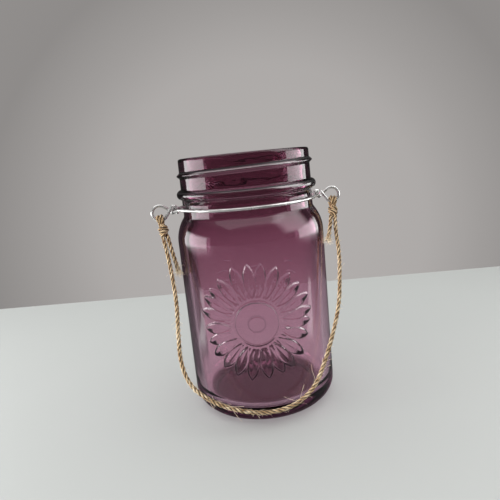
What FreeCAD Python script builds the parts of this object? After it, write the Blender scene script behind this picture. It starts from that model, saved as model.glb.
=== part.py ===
"""Mason jar lantern: a glass jar, a two-part wire collar with two eyes, and a jute twine handle.

Millimetres. The origin is the centre of the foot on the table, +Z is up, the twine hangs on the -Y side
and the eyes of the collar lie on the X axis.
"""

import FreeCAD
import Part
import math
import os

from FreeCAD import Vector

# Glass jar
JAR_HEIGHT = 140.0
BODY_RADIUS = 40.8
NECK_RADIUS = 35.95
FINISH_RADIUS = 35.7
WALL = 4.5
FLOOR_THICKNESS = 7.0
HEEL_RADIUS = 9.0
FLOOR_FILLET = 7.0
FOOT_RING_WIDTH = 2.8
PUSH_UP_DEPTH = 2.5
SHOULDER_RADIUS = 22.0
NECK_FILLET = 3.0
RIM_TO_BEAD = 19.1
BEAD_OVER_NECK = 2.5
BEAD_HALF_WIDTH = 2.6
RIM_ROUNDING = 1.2

# Sunflower ornament on the front and back walls
FLOWER_TURN = -9.4
FLOWER_HEIGHT = 56.5
FLOWER_ROOT = 0.6
FLOWER_DISC_RADIUS = 11.3
FLOWER_DISC_RELIEF = 0.9
PETALS_IN_RING = 12
PETAL_START = 11.9
PETAL_TIP = 30.0
PETAL_WIDTH = 7.4
FRONT_PETAL_RELIEF = 0.9
BACK_PETAL_RELIEF = 0.5

# Wire collar
WIRE_DIAMETER = 1.6
BEAD_TO_WIRE = 7.5
WIRE_TO_SHOULDER = 3.6
WIRE_CLEARANCE = 0.2
LEAVING_ANGLE = 31.0
RING_CORNERS = 4
EYE_NECK = 1.7
EYE_DROP = 0.95
EYE_RADIUS = 4.0
EYE_LEAN = 1.6
EYE_CORNERS = 6
SHANK_BEND_RADIUS = 2.4
EYE_TAIL_RISE = 2.6
WRAP_SETBACK = 3.4
WRAP_PITCH = 1.9
WRAP_START = -105.0
WRAP_END = 180.0
WRAP_CORNERS = 6
HOOK_APPROACH = 9.0
HOOK_APPROACH_BEND = 6.0
HOOK_TAIL_DROP = 3.4

# Jute twine
TWINE_DIAMETER = 2.3
TWINE_CLEARANCE = 0.3
HANDLE_LEAN = 22.5
HANDLE_TOE_IN = 9.5
HANDLE_LEAD = 7.2
TAIL_LEAD = 3.0
HITCH_DROP = 3.2
HITCH_TURNS = 2
HITCH_TURN_WIDTH = 3.0
HITCH_WAIST_RADIUS = 2.44
HITCH_CROWN = 0.42
STRAND_OFFSET = 1.25
STRAND_LEAD = 0.8
STRAND_BEND = 1.8
LOOP_CORNERS = 4
CORD_ARC_SHARE = 0.45

# Share of a polygon's inner circle that its corner arcs take, which leaves a short run between them
LOOP_FIT = 0.97

# Points that the free stretches of twine follow below the hitches
HANDLE_ROUTE = [
    Vector(-46.0, -12.8, 79.1),
    Vector(-45.3, -18.1, 65.1),
    Vector(-46.4, -23.8, 50.5),
    Vector(-46.9, -29.9, 37.2),
    Vector(-43.6, -34.9, 27.0),
    Vector(-36.4, -38.5, 20.3),
    Vector(-28.1, -41.0, 15.7),
    Vector(-18.3, -42.2, 11.7),
    Vector(-7.6, -42.8, 9.1),
    Vector(3.2, -42.8, 9.3),
    Vector(12.2, -41.9, 12.0),
    Vector(20.5, -39.6, 17.1),
    Vector(27.8, -35.0, 27.1),
    Vector(35.1, -29.4, 40.0),
    Vector(41.9, -23.1, 54.5),
    Vector(45.3, -16.6, 68.8),
    Vector(47.5, -11.4, 81.3),
]
LEFT_TAIL_ROUTE = [Vector(-44.3, -9.0, 90.6), Vector(-42.5, -9.8, 81.2)]
RIGHT_TAIL_ROUTE = [Vector(43.5, -8.6, 92.6), Vector(42.3, -9.2, 88.4)]

# Heights, from the rim down, and reaches that follow from the sizes above
BEAD_HEIGHT = JAR_HEIGHT - RIM_TO_BEAD
WIRE_HEIGHT = BEAD_HEIGHT - BEAD_TO_WIRE
NECK_START = WIRE_HEIGHT - WIRE_TO_SHOULDER
EYE_HEIGHT = WIRE_HEIGHT - EYE_DROP
RING_RADIUS = NECK_RADIUS + WIRE_CLEARANCE + WIRE_DIAMETER / 2
SHANK_REACH = RING_RADIUS / math.cos(math.radians(LEAVING_ANGLE))
EYE_REACH = SHANK_REACH + EYE_NECK + EYE_RADIUS
WRAP_RADIUS = WIRE_DIAMETER + WIRE_CLEARANCE
HITCH_LENGTH = HITCH_TURNS * HITCH_TURN_WIDTH


def corner_edges(points, radii):
    """Straight runs between the points, with a tangent arc of the given radius at each inner point."""
    edges = []
    last = points[0]
    for before, corner, after, radius in zip(points, points[1:], points[2:], radii):
        back = (before - corner).normalize()
        ahead = (after - corner).normalize()
        half_turn = (math.pi - back.getAngle(ahead)) / 2
        cut = radius * math.tan(half_turn)
        start = corner + back * cut
        end = corner + ahead * cut
        sagitta = radius / math.cos(half_turn) - radius
        middle = corner + (back + ahead).normalize() * sagitta
        if start.distanceToPoint(last) > 1e-4:
            edges.append(Part.LineSegment(last, start).toShape())
        edges.append(Part.Arc(start, middle, end).toShape())
        last = end
    edges.append(Part.LineSegment(last, points[-1]).toShape())
    return edges


def tube(points, radii, diameter):
    """A round tube along a rounded path."""
    path = Part.Wire(corner_edges(points, radii))
    section = Part.Circle(points[0], points[1] - points[0], diameter / 2).toShape()
    solid = path.makePipeShell([Part.Wire(section)], True, False)
    expected = math.pi * diameter**2 / 4 * path.Length
    print(f"  path {path.Length:.1f} mm, volume / (section x length) = {solid.Volume / expected:.4f}")
    return solid


def cord_radii(points):
    """The largest arc that each turn of a cord's route has room for."""
    radii = []
    for before, corner, after in zip(points, points[1:], points[2:]):
        shorter = min(corner.distanceToPoint(before), after.distanceToPoint(corner))
        half_turn = (corner - before).getAngle(after - corner) / 2
        radii.append(CORD_ARC_SHARE * shorter / math.tan(half_turn))
    return radii


def cord(points):
    """A stretch of twine; prints its arc radii."""
    radii = cord_radii(points)
    print("  twine radii", [round(radius, 1) for radius in radii])
    return tube(points, radii, TWINE_DIAMETER)


def turn_corners(centre, across, upward, radius, start_deg, end_deg, count):
    """Corners of a polygon drawn round an arc of the given radius, ends on the arc's end tangents."""
    step = math.radians(end_deg - start_deg) / count
    reach = radius / math.cos(step / 2)
    corners = []
    for index in range(count):
        angle = math.radians(start_deg) + (index + 0.5) * step
        corners.append(centre + across * (reach * math.cos(angle)) + upward * (reach * math.sin(angle)))
    return corners


def section_point(radius, height):
    """A point of the jar's half section."""
    return Vector(radius, 0, height)


def arc_about(radius_at, height_at, radius, start_deg, end_deg):
    """An arc of the half section about a centre."""
    points = []
    for angle in (start_deg, (start_deg + end_deg) / 2, end_deg):
        turn = math.radians(angle)
        across, up = radius * math.cos(turn), radius * math.sin(turn)
        points.append(section_point(radius_at + across, height_at + up))
    return Part.Arc(*points).toShape()


def joined_edges(stretches):
    """The stretches of an outline with straight lines across the gaps between them."""
    edges = []
    last = None
    for stretch in stretches:
        start = stretch.Vertexes[0].Point
        if last is not None and start.distanceToPoint(last) > 1e-6:
            edges.append(Part.LineSegment(last, start).toShape())
        edges.append(stretch)
        last = stretch.Vertexes[-1].Point
    return edges


def jar_wall():
    """One revolved wall with foot, heel, shoulder, neck, bead ring and rim."""
    foot_outer = BODY_RADIUS - HEEL_RADIUS
    foot_inner = foot_outer - FOOT_RING_WIDTH
    bore = FINISH_RADIUS - WALL
    inside = BODY_RADIUS - WALL

    # The shoulder's arc leaves the body upright and meets the neck's fillet on a common tangent.
    crown_at = BODY_RADIUS - SHOULDER_RADIUS
    fillet_at = NECK_RADIUS + NECK_FILLET
    reach = SHOULDER_RADIUS + NECK_FILLET
    slope = math.degrees(math.acos((fillet_at - crown_at) / reach))
    shoulder_start = NECK_START - reach * math.sin(math.radians(slope))

    # The inner shoulder follows the outer one a wall's thickness further in, down from the bore.
    inner_crown = SHOULDER_RADIUS - WALL
    inner_fillet = NECK_FILLET + WALL
    inner_fillet_at = bore + inner_fillet
    inner_reach = inner_crown + inner_fillet
    inner_crown_at = inside - inner_crown
    inner_slope = math.degrees(math.acos((inner_fillet_at - inner_crown_at) / inner_reach))
    inner_start = shoulder_start + inner_reach * math.sin(math.radians(inner_slope))
    print(f"  bore wall from {inner_start:.2f} to {JAR_HEIGHT - RIM_ROUNDING:.2f} mm")

    dome_radius = (foot_inner**2 + PUSH_UP_DEPTH**2) / (2 * PUSH_UP_DEPTH)
    dome_half = math.degrees(math.asin(foot_inner / dome_radius))
    bead_radius = (BEAD_HALF_WIDTH**2 + BEAD_OVER_NECK**2) / (2 * BEAD_OVER_NECK)
    bead_half = math.degrees(math.atan2(BEAD_HALF_WIDTH, bead_radius - BEAD_OVER_NECK))
    bead_at = NECK_RADIUS + BEAD_OVER_NECK - bead_radius
    rim_at = JAR_HEIGHT - RIM_ROUNDING

    outline = [
        arc_about(0, PUSH_UP_DEPTH - dome_radius, dome_radius, 90, 90 - dome_half),
        arc_about(foot_outer, HEEL_RADIUS, HEEL_RADIUS, -90, 0),
        arc_about(crown_at, shoulder_start, SHOULDER_RADIUS, 0, slope),
        arc_about(fillet_at, NECK_START, NECK_FILLET, 180 + slope, 180),
        arc_about(bead_at, BEAD_HEIGHT, bead_radius, -bead_half, bead_half),
        arc_about(FINISH_RADIUS - RIM_ROUNDING, rim_at, RIM_ROUNDING, 0, 90),
        arc_about(bore + RIM_ROUNDING, rim_at, RIM_ROUNDING, 90, 180),
        arc_about(inner_fillet_at, inner_start, inner_fillet, 180, 180 + inner_slope),
        arc_about(inner_crown_at, shoulder_start, inner_crown, inner_slope, 0),
        arc_about(inside - FLOOR_FILLET, FLOOR_THICKNESS + FLOOR_FILLET, FLOOR_FILLET, 0, -90),
    ]
    edges = joined_edges(outline)
    floor_end = edges[-1].Vertexes[-1].Point
    axis_floor = section_point(0, FLOOR_THICKNESS)
    edges.append(Part.LineSegment(floor_end, axis_floor).toShape())
    edges.append(Part.LineSegment(axis_floor, section_point(0, PUSH_UP_DEPTH)).toShape())
    half_section = Part.Face(Part.Wire(edges))
    return half_section.revolve(Vector(0, 0, 0), Vector(0, 0, 1), 360)


def wall_place(along, height, turn_deg):
    """Where a point of the flat ornament lands on the outer wall: a turn and its radial way."""
    angle = math.radians(turn_deg) + along / BODY_RADIUS
    outward = Vector(math.sin(angle), -math.cos(angle), 0)
    across = Vector(math.cos(angle), math.sin(angle), 0)
    return outward * BODY_RADIUS + Vector(0, 0, FLOWER_HEIGHT + height), outward, across


def petal_prism(angle_deg, turn_deg):
    """A pointed petal, cut square to the wall behind its middle."""
    angle = math.radians(angle_deg)
    middle = (PETAL_START + PETAL_TIP) / 2
    place, outward, across = wall_place(middle * math.cos(angle), middle * math.sin(angle), turn_deg)
    length = across * math.cos(angle) + Vector(0, 0, math.sin(angle))
    width = across * -math.sin(angle) + Vector(0, 0, math.cos(angle))
    half = (PETAL_TIP - PETAL_START) / 2
    stand_off = outward * (half / 2)
    root = place - length * half + stand_off
    tip = place + length * half + stand_off
    sides = [place + width * (sign * PETAL_WIDTH / 2) + stand_off for sign in (1, -1)]
    outline = [Part.Arc(root, sides[0], tip).toShape(), Part.Arc(tip, sides[1], root).toShape()]
    return Part.Face(Part.Wire(outline)).extrude(outward * -half)


def raised(prism, relief):
    """What a prism across the wall lifts out of it, rooted a little way inside the glass."""
    foot = Vector(0, 0, FLOWER_HEIGHT - PETAL_TIP - PETAL_WIDTH)
    height = 2 * (PETAL_TIP + PETAL_WIDTH)
    outer = Part.makeCylinder(BODY_RADIUS + relief, height, foot)
    inner = Part.makeCylinder(BODY_RADIUS - FLOWER_ROOT, height, foot)
    return prism.common(outer).cut(inner)


def flower(turn_deg):
    """A raised disc in two rings of petals, the lower ring showing between the petals of the upper one."""
    place, outward, _ = wall_place(0, 0, turn_deg)
    depth = FLOWER_DISC_RADIUS
    disc = Part.makeCylinder(FLOWER_DISC_RADIUS, 2 * depth, place - outward * depth, outward)
    pads = [raised(disc, FLOWER_DISC_RELIEF)]
    step = 360 / PETALS_IN_RING
    for index in range(PETALS_IN_RING):
        pads.append(raised(petal_prism(index * step, turn_deg), FRONT_PETAL_RELIEF))
        pads.append(raised(petal_prism((index + 0.5) * step, turn_deg), BACK_PETAL_RELIEF))
    return pads


def jar_glass():
    """The moulded glass with its ornament on the front and back."""
    pads = [pad for turn in (FLOWER_TURN, FLOWER_TURN + 180) for pad in flower(turn)]
    return jar_wall().multiFuse(pads).Solids[0]


def ring_corners(front):
    """Corners round the half of the neck that a wire embraces, from the -X side to the +X side."""
    centre = Vector(0, 0, WIRE_HEIGHT)
    side = -1 if front else 1
    return turn_corners(
        centre,
        Vector(1, 0, 0),
        Vector(0, side, 0),
        RING_RADIUS,
        180 - LEAVING_ANGLE,
        LEAVING_ANGLE,
        RING_CORNERS,
    )


def eye_turn():
    """The angles at which the wire joins and leaves the round of an eye, seen from the front."""
    dip = math.degrees(math.atan2(-EYE_DROP, EYE_REACH - SHANK_REACH))
    distance = math.hypot(EYE_REACH - SHANK_REACH, EYE_DROP)
    tangent = math.degrees(math.asin(EYE_RADIUS / distance))
    return dip + tangent + 90, dip - tangent - 90


def eye_lean(angle_deg):
    """How far forward the wire of an eye has come at an angle, to lap in front of its own shank."""
    start, end = eye_turn()
    half_step = (start - end) / EYE_CORNERS / 2
    first = start - half_step
    last = end + half_step
    return -EYE_LEAN * (first - angle_deg) / (first - last)


def eye_end(side):
    """Corners and arc radii of one end of the back wire: shank, round eye and a short lapped tail."""
    shank = Vector(side * SHANK_REACH, 0, WIRE_HEIGHT)
    centre = Vector(side * EYE_REACH, 0, EYE_HEIGHT)
    start, end = eye_turn()
    across = Vector(side, 0, 0)
    corners = turn_corners(centre, across, Vector(0, 0, 1), EYE_RADIUS, start, end, EYE_CORNERS)
    step = (end - start) / EYE_CORNERS
    for index, corner in enumerate(corners):
        corner.y = eye_lean(start + (index + 0.5) * step)
    lap = Vector(shank.x, -WRAP_RADIUS, shank.z)
    rise = (lap - corners[-1]).normalize()
    tail_end = lap + rise * EYE_TAIL_RISE
    return [shank, *corners, tail_end], [SHANK_BEND_RADIUS, *[EYE_RADIUS * LOOP_FIT] * EYE_CORNERS]


def back_wire():
    """The wire behind the neck, bent into an eye at each end."""
    left, left_radii = eye_end(-1)
    right, right_radii = eye_end(1)
    ring = ring_corners(front=False)
    points = [*left[::-1], *ring, *right]
    radii = [*left_radii[::-1], *[RING_RADIUS] * len(ring), *right_radii]
    return tube(points, radii, WIRE_DIAMETER)


def hook_end(side):
    """Corners and arc radii of one end of the front wire: one turn round the shank and a tail."""
    turn = math.radians(LEAVING_ANGLE)
    along = Vector(side * math.sin(turn), -math.cos(turn), 0)
    outward = Vector(side * math.cos(turn), math.sin(turn), 0)
    shank = Vector(side * SHANK_REACH, 0, WIRE_HEIGHT)
    wrap = shank - along * WRAP_SETBACK
    upward = Vector(0, 0, 1)
    corners = turn_corners(wrap, outward, upward, WRAP_RADIUS, WRAP_START, WRAP_END, WRAP_CORNERS)
    for index, corner in enumerate(corners):
        shift = WRAP_PITCH * (0.5 - index / (WRAP_CORNERS - 1))
        corners[index] = corner + along * shift
    approach = shank - Vector(along.x, -along.y, 0) * HOOK_APPROACH
    tail_end = corners[-1] + Vector(0, 0, -HOOK_TAIL_DROP)
    return [approach, *corners, tail_end], [HOOK_APPROACH_BEND, *[WRAP_RADIUS * LOOP_FIT] * WRAP_CORNERS]


def front_wire():
    """The wire in front of the neck, hooked round the shank of an eye at each end."""
    left, left_radii = hook_end(-1)
    right, right_radii = hook_end(1)
    ring = ring_corners(front=True)
    points = [*left[::-1], *ring, *right]
    radii = [*left_radii[::-1], *[RING_RADIUS] * len(ring), *right_radii]
    return tube(points, radii, WIRE_DIAMETER)


def hang_direction(side):
    """The way the twine leaves an eye: down, forward by the lean of the handle, and a little inward."""
    lean = math.radians(HANDLE_LEAN)
    toe_in = math.radians(HANDLE_TOE_IN)
    down = math.cos(toe_in)
    return Vector(-side * math.sin(toe_in), -math.sin(lean) * down, -math.cos(lean) * down)


def forward_direction():
    """The way across the hang direction that points out of the front of the jar."""
    lean = math.radians(HANDLE_LEAN)
    return Vector(0, -math.cos(lean), math.sin(lean))


def eye_seat(side):
    """The centre of the wire at the bottom of an eye, which the twine hangs on."""
    return Vector(side * EYE_REACH, eye_lean(-90), EYE_HEIGHT - EYE_RADIUS)


def hitch_top(side):
    """The centre of a hitch's upper end."""
    return eye_seat(side) + hang_direction(side) * HITCH_DROP


def twine_hitch(side):
    """The hitch below an eye: two turns of twine drawn tight, with flat ends for the strands."""
    crown = HITCH_WAIST_RADIUS + HITCH_CROWN
    edges = [Part.LineSegment(section_point(0, 0), section_point(HITCH_WAIST_RADIUS, 0)).toShape()]
    for index in range(HITCH_TURNS):
        bottom = index * HITCH_TURN_WIDTH
        edges.append(
            Part.Arc(
                section_point(HITCH_WAIST_RADIUS, bottom),
                section_point(crown, bottom + HITCH_TURN_WIDTH / 2),
                section_point(HITCH_WAIST_RADIUS, bottom + HITCH_TURN_WIDTH),
            ).toShape()
        )
    axis_end = section_point(0, HITCH_LENGTH)
    edges.append(Part.LineSegment(section_point(HITCH_WAIST_RADIUS, HITCH_LENGTH), axis_end).toShape())
    edges.append(Part.LineSegment(axis_end, section_point(0, 0)).toShape())
    turns = Part.Face(Part.Wire(edges)).revolve(Vector(0, 0, 0), Vector(0, 0, 1), 360)
    tilt = FreeCAD.Rotation(Vector(0, 0, 1), hang_direction(side))
    turns.Placement = FreeCAD.Placement(hitch_top(side), tilt)
    return turns


def twine_loop(side):
    """The twine's turn over the bottom of an eye, from one side of the hitch to the other."""
    down = hang_direction(side)
    forward = forward_direction()
    seat = eye_seat(side)
    radius = (WIRE_DIAMETER + TWINE_DIAMETER) / 2 + TWINE_CLEARANCE
    top = hitch_top(side)
    drop = HITCH_DROP - STRAND_LEAD
    lead_angle = math.atan2(drop, STRAND_OFFSET)
    touch = math.degrees(math.acos(radius / math.hypot(STRAND_OFFSET, drop)) - lead_angle)
    corners = turn_corners(seat, forward, down * -1, radius, touch, 180 - touch, LOOP_CORNERS)
    front = top + forward * STRAND_OFFSET
    rear = top - forward * STRAND_OFFSET
    lead = down * -STRAND_LEAD
    points = [front, front + lead, *corners, rear + lead, rear]
    radii = [STRAND_BEND, *[radius * LOOP_FIT] * len(corners), STRAND_BEND]
    return tube(points, radii, TWINE_DIAMETER)


def below_hitch(side, outward):
    """Where a strand leaves the lower end of a hitch, on its outer (1) or inner (-1) side."""
    down = hang_direction(side)
    aside = forward_direction().cross(down) * side
    return hitch_top(side) + down * HITCH_LENGTH + aside * STRAND_OFFSET * outward


def twine_handle():
    """The free stretch of twine that hangs from hitch to hitch in front of the jar."""
    left = below_hitch(-1, 1)
    right = below_hitch(1, 1)
    left_lead = left + hang_direction(-1) * HANDLE_LEAD
    right_lead = right + hang_direction(1) * HANDLE_LEAD
    return cord([left, left_lead, *HANDLE_ROUTE, right_lead, right])


def twine_tail(side, route):
    """The short free end of the twine beside the handle."""
    start = below_hitch(side, -1)
    return cord([start, start + hang_direction(side) * TAIL_LEAD, *route])


def main():
    os.makedirs("parts", exist_ok=True)
    nodes = {
        "jar_glass": jar_glass(),
        "back_wire": back_wire(),
        "front_wire": front_wire(),
        "twine_handle": twine_handle(),
        "twine_loop_left": twine_loop(-1),
        "twine_loop_right": twine_loop(1),
        "twine_hitch_left": twine_hitch(-1),
        "twine_hitch_right": twine_hitch(1),
        "twine_tail_left": twine_tail(-1, LEFT_TAIL_ROUTE),
        "twine_tail_right": twine_tail(1, RIGHT_TAIL_ROUTE),
    }
    for name, shape in nodes.items():
        print(name, shape.ShapeType, shape.isValid(), len(shape.Solids), round(shape.Volume, 2))
        shape.exportStep(f"parts/{name}.step")


main()
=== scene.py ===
# %% [markdown]
# # Dressing a mason jar lantern
# The solid model of the lantern is already made: a glass jar, a wire collar in two halves and a twine
# handle. This lesson gives it the look of the real thing. The jar gets its thread line, its sunflower and
# clear purple glass, the wire gets a galvanised finish, and the twine gets its three twisted plies.
# The solid model is loaded first as a fixed frame, in metres, and nothing in it is ever moved. The
# finished lantern has to stay within a little of it.

# %% Load the solid model
from functools import partialmethod
from math import acos, asin, atan2, cos, degrees, pi, radians, sin, tau

import bpy
from mathutils import Matrix, Vector


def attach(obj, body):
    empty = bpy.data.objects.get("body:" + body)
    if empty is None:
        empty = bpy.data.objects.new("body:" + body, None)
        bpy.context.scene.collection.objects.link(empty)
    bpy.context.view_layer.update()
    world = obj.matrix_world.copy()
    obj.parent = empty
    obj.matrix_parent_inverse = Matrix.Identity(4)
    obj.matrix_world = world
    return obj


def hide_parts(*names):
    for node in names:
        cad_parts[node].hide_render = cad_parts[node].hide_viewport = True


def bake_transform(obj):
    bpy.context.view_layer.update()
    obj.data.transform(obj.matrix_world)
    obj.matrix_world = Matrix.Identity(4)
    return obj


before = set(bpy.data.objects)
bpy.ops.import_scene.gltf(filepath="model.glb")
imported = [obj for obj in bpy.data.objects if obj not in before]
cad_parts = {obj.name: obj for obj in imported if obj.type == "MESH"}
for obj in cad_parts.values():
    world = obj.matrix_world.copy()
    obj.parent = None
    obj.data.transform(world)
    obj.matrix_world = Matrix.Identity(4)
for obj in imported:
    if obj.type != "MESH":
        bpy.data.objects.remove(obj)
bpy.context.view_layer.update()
scene = bpy.context.scene
scene.view_settings.view_transform = "Standard"
MM = 0.001


def new_object(name, data):
    """An object, put into the scene."""
    item = bpy.data.objects.new(name, data)
    scene.collection.objects.link(item)
    return item


# %% [markdown]
# ## The camera
# The picture was taken a hand's length from the jar with a fairly wide lens, held a little crooked, so
# the jar leans and tapers. A camera can be aimed with a constraint, but then the roll is lost. Here it is
# placed by its pitch, yaw and roll, which were worked out from the jar's own outlines.

# %% Place the camera
CAMERA_PLACE = Vector((-32.72, -246.46, 135.46)) * MM
CAMERA_PITCH, CAMERA_YAW, CAMERA_ROLL = -0.197412, 0.126757, -0.100133
CAMERA_LENS, CAMERA_SENSOR, CAMERA_NEAR = 31.88, 36.0, 0.01

flat = cos(CAMERA_PITCH)
ahead = Vector((sin(CAMERA_YAW) * flat, cos(CAMERA_YAW) * flat, sin(CAMERA_PITCH)))
level = Vector((cos(CAMERA_YAW), -sin(CAMERA_YAW), 0))
right = level * cos(CAMERA_ROLL) + level.cross(ahead) * sin(CAMERA_ROLL)
axes = Matrix((right, right.cross(ahead), -ahead)).transposed()
camera = new_object("camera", bpy.data.cameras.new("camera"))
camera.data.lens = CAMERA_LENS
camera.data.sensor_width = CAMERA_SENSOR
camera.data.clip_start = CAMERA_NEAR
camera.matrix_world = Matrix.Translation(CAMERA_PLACE) @ axes.to_4x4()
scene.camera = camera
print("camera at", [round(value, 4) for value in camera.location], "lens", camera.data.lens)

# %% [markdown]
# ## Node trees written as arithmetic
# Materials, lights and Geometry Nodes are all node trees. Adding each node by hand takes several lines, and
# a formula of fifty math nodes can't be read that way. A small class lets a number in a tree be written as
# plain arithmetic, with a math node for each step, and a few functions add the other nodes that come often.

# %% A field that can be calculated with
class Field:
    """A value in a node tree. Arithmetic on it adds math nodes to the tree."""

    def __init__(self, tree, socket):
        self.tree = tree
        self.socket = socket

    def math(self, operation, *others):
        """One math node with this field first."""
        node = self.tree.nodes.new("ShaderNodeMath")
        node.operation = operation
        for slot, value in zip(node.inputs, (self, *others)):
            fill(self.tree, slot, value)
        return Field(self.tree, node.outputs[0])

    __add__ = partialmethod(math, "ADD")
    __sub__ = partialmethod(math, "SUBTRACT")
    __mul__ = partialmethod(math, "MULTIPLY")
    __truediv__ = partialmethod(math, "DIVIDE")
    __abs__ = partialmethod(math, "ABSOLUTE")

    def constant(self, value):
        """A plain number as a field of the same tree."""
        return (self * 0.0) + value

    def less_from(self, value):
        """A plain number less this field."""
        return (self * -1.0) + value

    def between(self, low, high, ends=(0.0, 1.0), way="LINEAR"):
        """How far the field has come from low to high, spread between two ends."""
        node = self.tree.nodes.new("ShaderNodeMapRange")
        node.interpolation_type = way
        values = {"Value": self, "From Min": low, "From Max": high, "To Min": ends[0], "To Max": ends[1]}
        set_inputs(self.tree, node, values)
        return Field(self.tree, node.outputs["Result"])

    def smooth(self, low, high):
        """0 below low, 1 above high and a soft step between."""
        return self.between(low, high, way="SMOOTHSTEP")

    def clamped(self):
        """Kept between 0 and 1."""
        return self.math("MAXIMUM", 0.0).math("MINIMUM", 1.0)


def largest(first, *others):
    """The greatest of several fields."""
    for other in others:
        first = first.math("MAXIMUM", other)
    return first


print("fields ready")

# %% Helpers for node trees
def fill(tree, slot, value):
    """Gives an input a field, the socket of another node or a plain value."""
    if isinstance(value, Field):
        value = value.socket
    if isinstance(value, bpy.types.NodeSocket):
        tree.links.new(value, slot)
    else:
        slot.default_value = value


def set_inputs(tree, node, values):
    """Fills inputs of a node by socket name."""
    for name, value in values.items():
        fill(tree, node.inputs[name.replace("_", " ")], value)


def add_node(tree, kind, settings=None, **inputs):
    """A node with its settings, and its inputs by socket name."""
    node = tree.nodes.new(kind)
    for name, value in (settings or {}).items():
        setattr(node, name, value)
    set_inputs(tree, node, inputs)
    return node


def made(tree, kind, settings=None, **inputs):
    """The first output of a new node."""
    return add_node(tree, kind, settings, **inputs).outputs[0]


def vector_math(tree, operation, first, second=None, **inputs):
    """The result of one vector math node."""
    node = add_node(tree, "ShaderNodeVectorMath", {"operation": operation}, **inputs)
    fill(tree, node.inputs[0], first)
    if second is not None:
        fill(tree, node.inputs[1], second)
    return node.outputs["Value" if operation in ("DISTANCE", "DOT_PRODUCT") else "Vector"]


def parts(tree, vector):
    """The three numbers of a vector, as fields."""
    return [Field(tree, part) for part in add_node(tree, "ShaderNodeSeparateXYZ", Vector=vector).outputs]


def vector_of(tree, x, y, z):
    """A vector of three numbers."""
    return made(tree, "ShaderNodeCombineXYZ", X=x, Y=y, Z=z)


print("helpers ready")

# %% [markdown]
# ## Shared finish: fine mottling
# No real surface is one even colour. Twine, wire and table all have cloudy patches with a finer grain over
# them, only at different sizes. Such an effect is built once, as a shader node group with named inputs,
# and each material places it with its own values. The group gives a cloud value and a grain height.

# %% Build the mottling group
def mottling_group():
    """Clouds and grain from two noises on the coordinates that come in."""
    group = bpy.data.node_groups.new("Fine mottling", "ShaderNodeTree")
    sockets = group.interface
    sockets.new_socket(name="Vector", in_out="INPUT", socket_type="NodeSocketVector")
    for in_out, names in (("INPUT", ("Cloud Scale", "Grain Scale")), ("OUTPUT", ("Clouds", "Grain"))):
        for name in names:
            sockets.new_socket(name=name, in_out=in_out, socket_type="NodeSocketFloat")
    given = group.nodes.new("NodeGroupInput").outputs
    end = group.nodes.new("NodeGroupOutput")
    for scale, result, detail in (("Cloud Scale", "Clouds", 3.0), ("Grain Scale", "Grain", 6.0)):
        inputs = {"Vector": given["Vector"], "Scale": given[scale], "Detail": detail}
        fill(group, end.inputs[result], made(group, "ShaderNodeTexNoise", **inputs))
    return group


MOTTLING = mottling_group()
print("group", MOTTLING.name, [item.name for item in MOTTLING.interface.items_tree])

# %% Helpers for materials
def new_material(name):
    """An empty node material with its Principled shader."""
    material = bpy.data.materials.new(name)
    material.use_nodes = True
    return material, material.node_tree, material.node_tree.nodes["Principled BSDF"]


def object_place(tree):
    """The object's own coordinates."""
    return add_node(tree, "ShaderNodeTexCoord").outputs["Object"]


def attribute(tree, name, result="Fac"):
    """A value that a piece's Geometry Nodes left on its points."""
    return add_node(tree, "ShaderNodeAttribute", {"attribute_name": name}).outputs[result]


def add_mottling(tree, coordinates, cloud_scale, grain_scale):
    """The clouds and the grain of the mottling group, placed in a material."""
    scales = {"Cloud_Scale": cloud_scale, "Grain_Scale": grain_scale}
    placed = add_node(tree, "ShaderNodeGroup", {"node_tree": MOTTLING}, Vector=coordinates, **scales)
    return Field(tree, placed.outputs["Clouds"]), Field(tree, placed.outputs["Grain"])


def add_ramp(tree, value, *stops):
    """A colour ramp on a value; each stop is (position, colour)."""
    ramp = add_node(tree, "ShaderNodeValToRGB", Fac=value)
    elements = ramp.color_ramp.elements
    while len(elements) < len(stops):
        elements.new(0.5)
    for element, (position, colour) in zip(elements, stops):
        element.position = position
        element.color = (*colour, 1.0)
    return ramp.outputs["Color"]


def mix_colours(tree, share, first, second, blend_type="MIX"):
    """A share of the way from one colour to another, or to their product."""
    node = add_node(tree, "ShaderNodeMix", {"data_type": "RGBA", "blend_type": blend_type}, Factor=share)
    for slot, colour in ((node.inputs[6], first), (node.inputs[7], second)):
        fill(tree, slot, (*colour, 1.0) if isinstance(colour, tuple) else colour)
    return node.outputs[2]


def add_bump(tree, shader, height, strength, distance):
    """A bump from a height value, into the shader's normal."""
    bump = made(tree, "ShaderNodeBump", Strength=strength, Distance=distance, Height=height)
    fill(tree, shader.inputs["Normal"], bump)


print("material helpers ready")
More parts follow.
